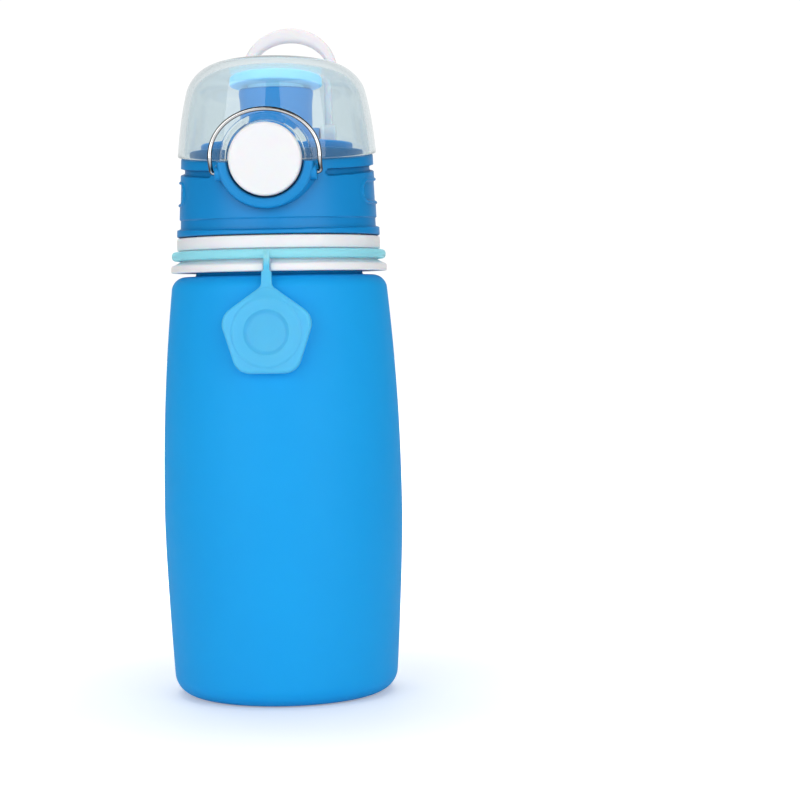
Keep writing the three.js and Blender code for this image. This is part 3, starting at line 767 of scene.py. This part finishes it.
def cap_radius(turn, level):
    """Outer radius of the cap at an angle from the front, in radians, and a height before tilting."""
    side = abs(turn)
    rise = 1 - math.cos(side)
    lip_top = CAP_LOW + 1.5 + 1.35 * rise
    band_top = CAP_LOW + 5.1 + 0.75 * rise
    radius = CAP_SIDE_R - CAP_DRAFT * (level - CAP_LOW)
    radius += 0.72 * (1 - step(level - lip_top, 0.5))
    radius -= 0.42 * step(level - lip_top, 0.35) * (1 - step(level - band_top, 0.3))
    # raised outline round a slightly sunk panel on each side
    panel = stadium((side - PANEL_TURN) * 32.4, level - PANEL_Z, half_length=18.2, half_height=3.8)
    radius += 0.5 * (1 - step(abs(panel) - 0.42, 0.4))
    radius -= 0.22 * (1 - step(panel + 0.6, 0.4))
    # finger groove under the rim, narrowing towards the back
    wide = GROOVE_END - GROOVE_START
    middle = (GROOVE_START + GROOVE_END) / 2
    share = max(0.0, min(1.0, (side - GROOVE_START) / wide))
    half = 1.5 - 0.75 * share
    groove_z = SPLIT_Z - 3.6 - half
    groove_r = 32.2
    groove = stadium((side - middle) * groove_r, level - groove_z, wide * groove_r / 2, half)
    radius -= 1.35 * (1 - step(groove + 0.25, 0.5))
    return radius - drawn_in(SPLIT_Z - level, 0.8) - drawn_in(level - CAP_LOW, 0.5)


def cap_body():
    """The outer body of the cap as one solid block, before anything is cut from it."""
    columns = 320
    fine = 110
    rows = [[(0, 0, CAP_LOW)]]
    level_up_to = 158
    levels = [CAP_LOW + (SPLIT_Z - CAP_LOW) * i / fine for i in range(fine + 1)]
    for level in levels:
        lean = max(0.0, min(1.0, (level - level_up_to) / (SPLIT_Z - level_up_to)))
        row = []
        for j in range(columns):
            turn = 2 * math.pi * j / columns
            front_turn = (turn + math.pi / 2 + math.pi) % (2 * math.pi) - math.pi
            radius = cap_radius(front_turn, level)
            x = radius * math.cos(turn)
            y = radius * math.sin(turn)
            row.append((x, y, level + lean * SPLIT_SLOPE * y))
        rows.append(row)
    rows.append([(0, 0, SPLIT_Z)])
    return skin("cap", rows)


def bezel_boss():
    """The round boss behind the button, flared where it meets the cap's wall."""
    depth = BUTTON_BACK + 8 - BEZEL_FRONT
    outline = [(0, 0)]
    outline += soft([(17.6, 0, 0), (16.3, depth - 7.5, 3.0), (BEZEL_R, depth - 3.0, 1.5),
                     (BEZEL_R - 0.1, depth, 1.3), (WELL_R - 0.2, depth, 0.5)], closed=False)
    outline += [(WELL_R - 0.4, depth - 0.6), (0, depth - 0.6)]
    return facing_front(lathe("boss", outline, 128), BEZEL_FRONT + depth, BUTTON_Z)


def button_well():
    """The hole that the button slides in, with a rounded mouth."""
    depth = 14.0
    inside = BEZEL_FRONT - WELL_FLOOR
    outline = [(0, 0), (WELL_R, 0), (WELL_R, -inside - 0.9)]
    outline += arc(WELL_R + 0.9, -inside - 0.9, 0.9, 180, 90, 8)[1:]
    outline += [(WELL_R + 3, -inside), (WELL_R + 3, depth), (0, depth)]
    return facing_front(lathe("well", outline, 128), WELL_FLOOR, BUTTON_Z)


def cap_knuckle(side):
    x0, x1 = sorted((side * 6.6, side * 11.8))
    barrel_r = 4.3
    barrel = along_x("barrel", barrel_r, x0, x1, HINGE_Y, HINGE_Z, edge=0.4)
    back = HINGE_Y + barrel_r
    arm = plate("arm", [
        (30.6, 164), (32.4, 164), (35.4, 167.2), (back - 2.4, HINGE_Z - 9), (back - 0.35, HINGE_Z - 2.2),
        (HINGE_Y, HINGE_Z), (HINGE_Y - 3.7, HINGE_Z - 2), (35.6, 181.9), (33.6, 180.6), (30.6, 180.2),
    ], x0 + 0.05, x1 - 0.05, bevel=0.45)
    return combine(arm, "UNION", barrel)


def bail_ear(side):
    x0, x1 = sorted((side * 12.2, side * 16.2))
    knob = along_x("knob", 2.55, x0, x1, EAR_Y, EAR_Z, edge=0.6)
    half = 2.3
    root_y = -26.5
    root = plate("root", [(EAR_Y, EAR_Z - half), (root_y, EAR_Z - half), (root_y, EAR_Z + half),
                          (EAR_Y, EAR_Z + half)], x0 + 0.2, x1 - 0.3, bevel=0.4)
    return combine(knob, "UNION", root)


def make_cap():
    cap = cap_body()
    combine(cap, "UNION", bezel_boss())
    combine(cap, "DIFFERENCE", split_block(True))
    combine(cap, "UNION", cap_knuckle(1), cap_knuckle(-1), bail_ear(1), bail_ear(-1))
    ceiling_low = 168.3
    ceiling_high = 170.3
    bore_r = 29.4
    mouth_r = bore_r + 1
    bore = lathe("bore", [(0, CAP_LOW - 5), (mouth_r, CAP_LOW - 5), (mouth_r, CAP_LOW),
                          (bore_r, CAP_LOW + 1), (bore_r, ceiling_low), (0, ceiling_low)], 160)
    cup = cylinder("cup", 30.2, ceiling_high, 190, 160)
    port = cylinder("port", 13.3, ceiling_low - 1, ceiling_high + 1, 96)
    slot = box("slot", -3.9, 3.9, -60, -27, 170.6, 200)
    pin_hole = along_x("pin_hole", PIN_HOLE_R, -30, 30, HINGE_Y, HINGE_Z, edge=0)
    ear_holes = [along_x("ear_hole", 1.0, *sorted((side * 13.8, side * 20)), EAR_Y, EAR_Z, edge=0)
                 for side in (-1, 1)]
    combine(cap, "DIFFERENCE", button_well(), bore, cup, port, slot, pin_hole, *ear_holes)
    combine(cap, "UNION", thread("cap_thread", bore_r + 0.5, 27.8, THREAD_Z + PITCH / 2))
    dress(cap, "cap_plastic", ["cap_shell"], "cap")


def make_deck():
    spout = 11.85
    bore = 9.8
    tube = 12.9
    inner = 25.0
    wall = 1.5
    skirt_low = DECK_LOW + 2.6
    step_z = 178.4
    top = 181.0
    outline = soft([
        (bore, DECK_LOW, 0.3), (tube, DECK_LOW, 0.3), (tube, step_z - wall, 0),
        (DECK_R - wall, step_z - wall, 0), (DECK_R - wall, skirt_low, 0.2),
        (DECK_R, skirt_low, 0.3), (DECK_R, step_z, 0.6),
        (inner, step_z, 0.5), (inner, top, 0.7), (spout + 1.2, top, 1.1), (spout, top + 1.4, 1.0),
        (spout, SPOUT_TOP - 4.5, 1.5), (spout + 0.5, SPOUT_TOP - 1.2, 0.7), (spout + 0.1, SPOUT_TOP, 0.7),
        (bore, SPOUT_TOP, 0.6),
    ])
    deck = lathe("deck", outline, 160)
    notch = box("notch", -4.7, 4.7, -60, -23.4, 160, 184)
    vent = turned(cylinder("vent", 1.7, 170, 190, 32), Matrix.Translation((0, VENT_Y, 0)))
    combine(deck, "DIFFERENCE", notch, vent)
    dress(deck, "cap_plastic", ["spout_deck"], "cap")


def make_deck_seal():
    middle = (low("deck_seal", Z) + high("deck_seal", Z)) / 2
    outline = arc(14.0, middle, 0.75, 0, 330, 11)
    dress(lathe("deck_ring", outline, 96), "seal_rubber", ["deck_seal"], "cap")


def make_vent():
    base = low("vent_valve", Z)
    top = high("vent_valve", Z)
    head_low = 181.3
    outline = [(0, base)]
    outline += soft([(2.3, base, 0.3), (1.3, base + 1.4, 0.2), (1.3, head_low, 0), (3.0, head_low, 0.3),
                     (2.7, top, 0.7), (0, top, 0)], closed=False)
    vent = turned(lathe("vent", outline, 48), Matrix.Translation((0, VENT_Y, 0)))
    vent.name = "vent"
    dress(vent, "seal_rubber", ["vent_valve"], "cap")


# ---- button, latch and springs ------------------------------------------------------------------


def make_button():
    depth = BUTTON_BACK - BUTTON_FACE
    ceiling = depth - 1.7
    outline = [(0, ceiling)]
    outline += soft([(10.2, ceiling, 0.3), (10.2, 0, 0), (BUTTON_R, 0, 0.2), (BUTTON_R, depth - 0.2, 1.5),
                     (BUTTON_R - 1.9, depth, 0.9)], closed=False)[:-1]
    outline += [((BUTTON_R - 2.2) * (1 - i / 8), depth - 0.02 + 0.02 * i / 8) for i in range(9)]
    button = facing_front(lathe("button", outline, 128), BUTTON_BACK, BUTTON_Z)
    dress(button, "white_plastic", ["push_button"], "button")


def make_latch():
    back = high("latch_hook", Y)
    front = low("latch_hook", Y)
    base = low("latch_hook", Z)
    top = high("latch_hook", Z)
    half = high("latch_hook", X)
    nose = top - 1.3
    outline = [(front, base), (back, base), (back, top), (-28.2, top), (-29.0, nose), (-27.2, nose),
               (-27.2, base + 2), (front, base + 2)]
    latch = plate("latch", outline, -half, half, bevel=0.25)
    dress(latch, "cap_plastic", ["latch_hook"], "button")


def helix(centre, axis, radius, length, turns, per_turn=28):
    """Points of a coil along the X or Y axis, from centre - length / 2."""
    points = []
    for i in range(int(turns * per_turn) + 1):
        t = 2 * math.pi * i / per_turn
        along = -length / 2 + length * i / (turns * per_turn)
        if axis == "X":
            offset = (along, radius * math.cos(t), radius * math.sin(t))
        else:
            offset = (radius * math.cos(t), along, radius * math.sin(t))
        points.append(Vector(centre) + Vector(offset))
    return points


def make_button_spring():
    y0 = low("button_spring", Y) + 0.25
    y1 = high("button_spring", Y) - 0.25
    z = (low("button_spring", Z) + high("button_spring", Z)) / 2
    spring = wire("button_coil", helix((0, (y0 + y1) / 2, z), "Y", 2.5, y1 - y0, 3), 0.25)
    dress(spring, "steel_wire", ["button_spring"], "cap", sharp=60)
    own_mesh(spring)


def make_lid_spring():
    coil = helix((0, HINGE_Y, HINGE_Z), "X", 2.25, 3.9, 5)
    cap_leg = [coil[0] + Vector((0, 0.35 - 0.1 * i, -0.9 * i)) for i in range(5, 0, -1)]
    lid_leg = [coil[-1] + Vector((0, -0.25 * i, 0.95 * i)) for i in range(1, 6)]
    spring = wire("lid_coil", cap_leg + coil + lid_leg, 0.35)
    dress(spring, "steel_wire", ["lid_spring"], "cap", sharp=60)


def make_pin():
    pin = along_x("pin", high("hinge_pin", Z) - HINGE_Z, -PIN_HALF, PIN_HALF, HINGE_Y, HINGE_Z, edge=0.25)
    dress(pin, "steel_wire", ["hinge_pin"], "cap")


# ---- wire bail ----------------------------------------------------------------------------------


def curve_points(corners, steps):
    """Points on a Bezier curve of any degree through its control corners."""
    degree = len(corners) - 1
    out = []
    for i in range(steps):
        t = i / steps
        out.append(sum((corners[k] * math.comb(degree, k) * t ** k * (1 - t) ** (degree - k)
                        for k in range(degree + 1)), Vector((0, 0, 0))))
    return out


def make_bail():
    reach = high("bail_wire", X) - BAIL_WIRE_R
    plane = low("bail_wire", Y) + BAIL_WIRE_R
    top = high("bail_wire", Z) - BAIL_WIRE_R
    rise = EAR_Z + 5.0
    swell = 0.5523 * reach
    half = curve_points([Vector((14.2, EAR_Y, EAR_Z)), Vector((reach - 1, EAR_Y, EAR_Z))], 4)
    half += curve_points([Vector((reach - 1, EAR_Y, EAR_Z)), Vector((reach, EAR_Y, EAR_Z)),
                          Vector((reach, EAR_Y - 0.7, EAR_Z + 1))], 8)
    half += curve_points([Vector((reach, EAR_Y - 0.7, EAR_Z + 1)), Vector((reach, plane, EAR_Z + 3.2)),
                          Vector((reach, plane, rise))], 8)
    half += curve_points([Vector((reach, plane, rise)), Vector((reach, plane, rise + swell - 1.3)),
                          Vector((swell, plane, top)), Vector((0, plane, top))], 28)
    mirrored = [Vector((-p.x, p.y, p.z)) for p in half]
    path = half + [Vector((0, plane, top))] + list(reversed(mirrored))
    bail = wire("bail", path, BAIL_WIRE_R, 20)
    dress(bail, "steel_wire", ["bail_wire"], "bail", sharp=60)


# ---- lid ----------------------------------------------------------------------------------------

ARCH_R = 14.7
WINDOW_R = 12.4                  # the opening in the lid's front for the button


def tilt_lid(x, y, z):
    share = max(0.0, min(1.0, (z - LID_LOW) / (LID_TOP - LID_LOW)))
    return (x, y, z + y * ((1 - share) * SPLIT_SLOPE + share * ROOF_SLOPE))


def lid_outline(offset):
    """Wall and roof of the lid, level, from the rim up to the axis."""
    corner_r = 12.0
    middle_r = 18.0
    middle_z = LID_TOP - 0.6 - corner_r
    first_turn = 10
    start = (middle_r + (corner_r - offset) * math.cos(math.radians(first_turn)),
             middle_z + (corner_r - offset) * math.sin(math.radians(first_turn)))
    side_r = LID_R - offset
    wall = curve_points([Vector((side_r, LID_LOW, 0)), Vector((side_r - 0.9, LID_LOW + 11, 0)),
                         Vector((*start, 0))], 14)
    points = [(p.x, p.y) for p in wall]
    points += arc(middle_r, middle_z, corner_r - offset, first_turn, 82, 16)
    edge_r, edge_z = points[-1]
    crown = LID_TOP - offset
    points += [(edge_r * (1 - i / 10), crown - (crown - edge_z) * (1 - i / 10) ** 2) for i in range(1, 11)]
    return points


def lid_arch():
    """The clear ring that stands round the upper half of the button, closed behind by a thin floor."""
    back = -29.3
    front = -34.1
    depth = back - front
    thick = 1.5
    outline = [(0, 0)] + soft([(ARCH_R, 0, 0), (ARCH_R, depth, 0.5), (WINDOW_R, depth, 0.5),
                               (WINDOW_R, thick, 0.3), (0, thick, 0)], closed=False)
    arch = facing_front(lathe("arch", outline, 128), back, BUTTON_Z)
    for vertex in arch.data.vertices:
        over = vertex.co.z / MM - BUTTON_Z
        if over > 0 and vertex.co.y / MM < -31:
            vertex.co.y -= 0.8 / ARCH_R * over * MM
    combine(arch, "DIFFERENCE", split_block(False, 0.3))
    return combine(arch, "DIFFERENCE", box("recess", -6.75, 6.75, -60, -34.3, BUTTON_Z + 11, BUTTON_Z + 16))


def lid_knuckle(side):
    x0, x1 = sorted((side * 3.2, side * 6.2))
    barrel = along_x("barrel", 4.2, x0, x1, HINGE_Y, HINGE_Z, edge=0.4)
    arm = plate("arm", [
        (30.8, HINGE_Z - 1), (33.8, HINGE_Z - 1.4), (36.4, HINGE_Z - 2.6), (HINGE_Y, HINGE_Z - 3.4),
        (HINGE_Y, HINGE_Z + 4.1), (36.2, HINGE_Z + 5.1), (33.0, HINGE_Z + 7.4), (31.2, HINGE_Z + 8.2),
        (30.6, HINGE_Z + 6),
    ], x0 + 0.05, x1 - 0.05, bevel=0.4)
    return combine(arm, "UNION", barrel)


def make_lid():
    outer = lid_outline(0)
    inner = list(reversed(lid_outline(WALL)))
    rim = soft([(LID_R - WALL, LID_LOW + 0.6, 0), (LID_R - WALL, LID_LOW, 0.4), (LID_R, LID_LOW, 0.4),
                (LID_R, LID_LOW + 0.6, 0)], closed=False, steps=4)[1:-1]
    lid = lathe("lid", rim + outer[1:] + inner[:-1], 192, tilt_lid)
    window = cylinder("window", WINDOW_R, 0, 20, 128)
    combine(lid, "DIFFERENCE", facing_front(window, -30.8, BUTTON_Z))
    lug = box("lug", -3.3, 3.3, -29.8, -28.0, 177.2, 179.0)
    combine(lid, "UNION", lid_arch(), lug, lid_knuckle(1), lid_knuckle(-1))
    combine(lid, "DIFFERENCE", along_x("pin_hole", PIN_HOLE_R, -30, 30, HINGE_Y, HINGE_Z, edge=0))
    dress(lid, "clear_plastic", ["lid_cover"], "lid", sharp=30)


def make_plug():
    base = low("spout_plug", Z)
    top = high("spout_plug", Z)
    outline = [(0, base)] + soft([(8.2, base, 0.6), (9.2, base + 2.5, 0.2), (15.3, base + 2.5, 0.8),
                                  (15.3, top - 1.0, 1.0), (6, top - 1.0, 0.3), (6, top, 0.3), (0, top, 0)],
                                 closed=False)

    def tilt_disc(x, y, z):
        """The disc lies along the sloping roof; the nose below it stays level in the spout."""
        share = max(0.0, min(1.0, (z - base - 1.0) / 1.5))
        return (x, y, z + share * (0.8 + y * ROOF_SLOPE))

    dress(lathe("plug", outline, 128, tilt_disc), "strap_silicone", ["spout_plug"], "lid",
          look="plug_silicone")


# ---- carry loop ---------------------------------------------------------------------------------


def make_handle():
    lean = math.radians(12)
    height = 40.6
    outer_r = 17.1
    side_width = 3.3
    crown_width = 5.0
    half_depth = 2.25
    arch_z = height - outer_r
    inner_x = outer_r - side_width
    inner_z = outer_r - crown_width
    side_levels = (-2.0, 4.0, 10.0, 16.0, 20.0)
    pairs = [((outer_r, z), (inner_x, z)) for z in side_levels]
    for i in range(41):
        t = math.pi * i / 40
        pairs.append(((outer_r * math.cos(t), arch_z + outer_r * math.sin(t)),
                      (inner_x * math.cos(t), arch_z + inner_z * math.sin(t))))
    pairs += [((-outer_r, z), (-inner_x, z)) for z in reversed(side_levels)]
    section = []
    count = 28
    squareness = 3.0
    for i in range(count):
        t = 2 * math.pi * i / count
        u, v = math.cos(t), math.sin(t)
        grow = (abs(u) ** squareness + abs(v) ** squareness) ** (-1 / squareness)
        section.append((u * grow, v * grow))
    rows = []
    for (ox, oz), (ix, iz) in pairs:
        centre = Vector(((ox + ix) / 2, 0, (oz + iz) / 2))
        reach = Vector(((ox - ix) / 2, 0, (oz - iz) / 2))
        rows.append([tuple(centre + reach * u + Vector((0, half_depth * v, 0))) for u, v in section])
    handle = skin("handle", rows)
    barrels = []
    for side in (-1, 1):
        x0, x1 = sorted((side * 12.2, side * 18.4))
        barrels.append(along_x("barrel", 5.3, x0, x1, 0, 0, edge=1.0, count=72))
    combine(handle, "UNION", *barrels)
    combine(handle, "DIFFERENCE", along_x("hole", PIN_HOLE_R, -30, 30, 0, 0, edge=0))
    turned(handle, Matrix.Translation((0, HINGE_Y, HINGE_Z)) @ Matrix.Rotation(-lean, 4, "X"))
    dress(handle, "white_plastic", ["carry_handle"], "handle")


# ---- stage --------------------------------------------------------------------------------------


def make_floor():
    """A white sweep: it glows a little, and more with distance, so that it has no horizon."""
    reach = 4000.0
    level = -0.15
    corners = [(-reach, -reach, level), (reach, -reach, level), (reach, reach, level),
               (-reach, reach, level)]
    floor = new_mesh("floor", corners, [(0, 1, 2, 3)])
    look = Look("floor")
    away = look.add("VectorMath", operation="LENGTH")
    look.join(look.place, away.inputs[0])
    glow = look.ramp(away.outputs["Value"], 0.05, 0.24, 0.3, 1.0, "SMOOTHSTEP")
    emission = look.add("Emission", Color=(0.97, 0.985, 1.0, 1), Strength=glow)
    seen_glow = look.mixed(look.add("LightPath").outputs["Is Camera Ray"], None, emission)
    ground = look.add("BsdfPrincipled", Base_Color=(0.80, 0.83, 0.86, 1), Roughness=0.6,
                      Specular_IOR_Level=0.1)
    shader = look.add("AddShader")
    look.join(seen_glow.outputs["Shader"], shader.inputs[0])
    look.join(ground.outputs["BSDF"], shader.inputs[1])
    floor.data.materials.append(look.surface(shader))


def softbox(name, azimuth, elevation, distance, width, height, radiance, mirrored=True):
    """A soft rectangular light that looks at the bottle. Azimuth 0 is in front and grows to the right."""
    target = Vector((0, 0, 0.12))
    a = math.radians(azimuth)
    e = math.radians(elevation)
    out = Vector((math.sin(a) * math.cos(e), -math.cos(a) * math.cos(e), math.sin(e)))
    light = bpy.data.lights.new(name, "AREA")
    light.shape = "RECTANGLE"
    light.size = width
    light.size_y = height
    light.energy = radiance * math.pi * width * height
    lamp = bpy.data.objects.new(name, light)
    bpy.context.scene.collection.objects.link(lamp)
    lamp.location = target + out * distance
    lamp.rotation_mode = "QUATERNION"
    lamp.rotation_quaternion = (-out).to_track_quat("-Z", "Y")
    lamp.visible_camera = False
    lamp.visible_glossy = mirrored
    lamp.visible_transmission = False


def make_lights():
    softbox("left", -33, 14, 1.1, 0.96, 1.0, 1.9)
    softbox("right", 38, 14, 1.1, 1.0, 1.0, 1.95)
    softbox("top", 180, 76, 1.3, 1.4, 1.4, 1.9, mirrored=False)
    softbox("back", 200, 35, 1.3, 1.2, 0.9, 1.0, mirrored=False)
    make_world()


def make_world():
    """White behind the bottle and dim beside it, so that clear and steel parts get darker edges."""
    world = bpy.data.worlds.new("studio")
    bpy.context.scene.world = world
    look = Look("studio", world)
    ray = look.add("LightPath").outputs
    ahead = look.add("SeparateXYZ", Vector=look.add("TexCoord").outputs["Camera"]).outputs["Z"]
    through = look.maths("GREATER_THAN", ray["Transmission Depth"], 0.5)
    inside = look.maths("MULTIPLY", through, ray["Is Reflection Ray"])
    strength = 1.05
    for chosen, value in ((ray["Is Glossy Ray"], look.ramp(ahead, 0.7, 0.97, 0.06, 0.9)),
                          (ray["Is Diffuse Ray"], 0.16), (through, 1.04), (inside, 0.62)):
        pick = look.add("Mix")
        look.feed(chosen, pick.inputs[0])
        look.feed(strength, pick.inputs[2])
        look.feed(value, pick.inputs[3])
        strength = pick.outputs[0]
    look.surface(look.add("Background", Color=(1.0, 1.0, 1.0, 1.0), Strength=strength))


def make_camera():
    data = bpy.data.cameras.new("camera")
    data.lens = 94.5
    data.sensor_width = 36.0
    camera = bpy.data.objects.new("camera", data)
    bpy.context.scene.collection.objects.link(camera)
    camera.location = (0.0772, -0.6934, 0.1292)
    yaw = math.radians(-3.13)
    pitch = math.radians(-2.73)
    roll = math.radians(-0.95)
    camera.rotation_mode = "QUATERNION"
    turn = Matrix.Rotation(-yaw, 4, "Z") @ Matrix.Rotation(math.radians(90) + pitch, 4, "X")
    camera.rotation_quaternion = (turn @ Matrix.Rotation(roll, 4, "Z")).to_quaternion()
    bpy.context.scene.camera = camera
    bpy.context.scene.view_settings.view_transform = "Standard"


make_bottle()
make_neck_insert()
make_collar()
make_strap()
make_gasket()
make_cap()
make_deck()
make_deck_seal()
make_vent()
make_button()
make_latch()
make_button_spring()
make_lid_spring()
make_pin()
make_bail()
make_lid()
make_plug()
make_handle()
make_floor()
make_lights()
make_camera()
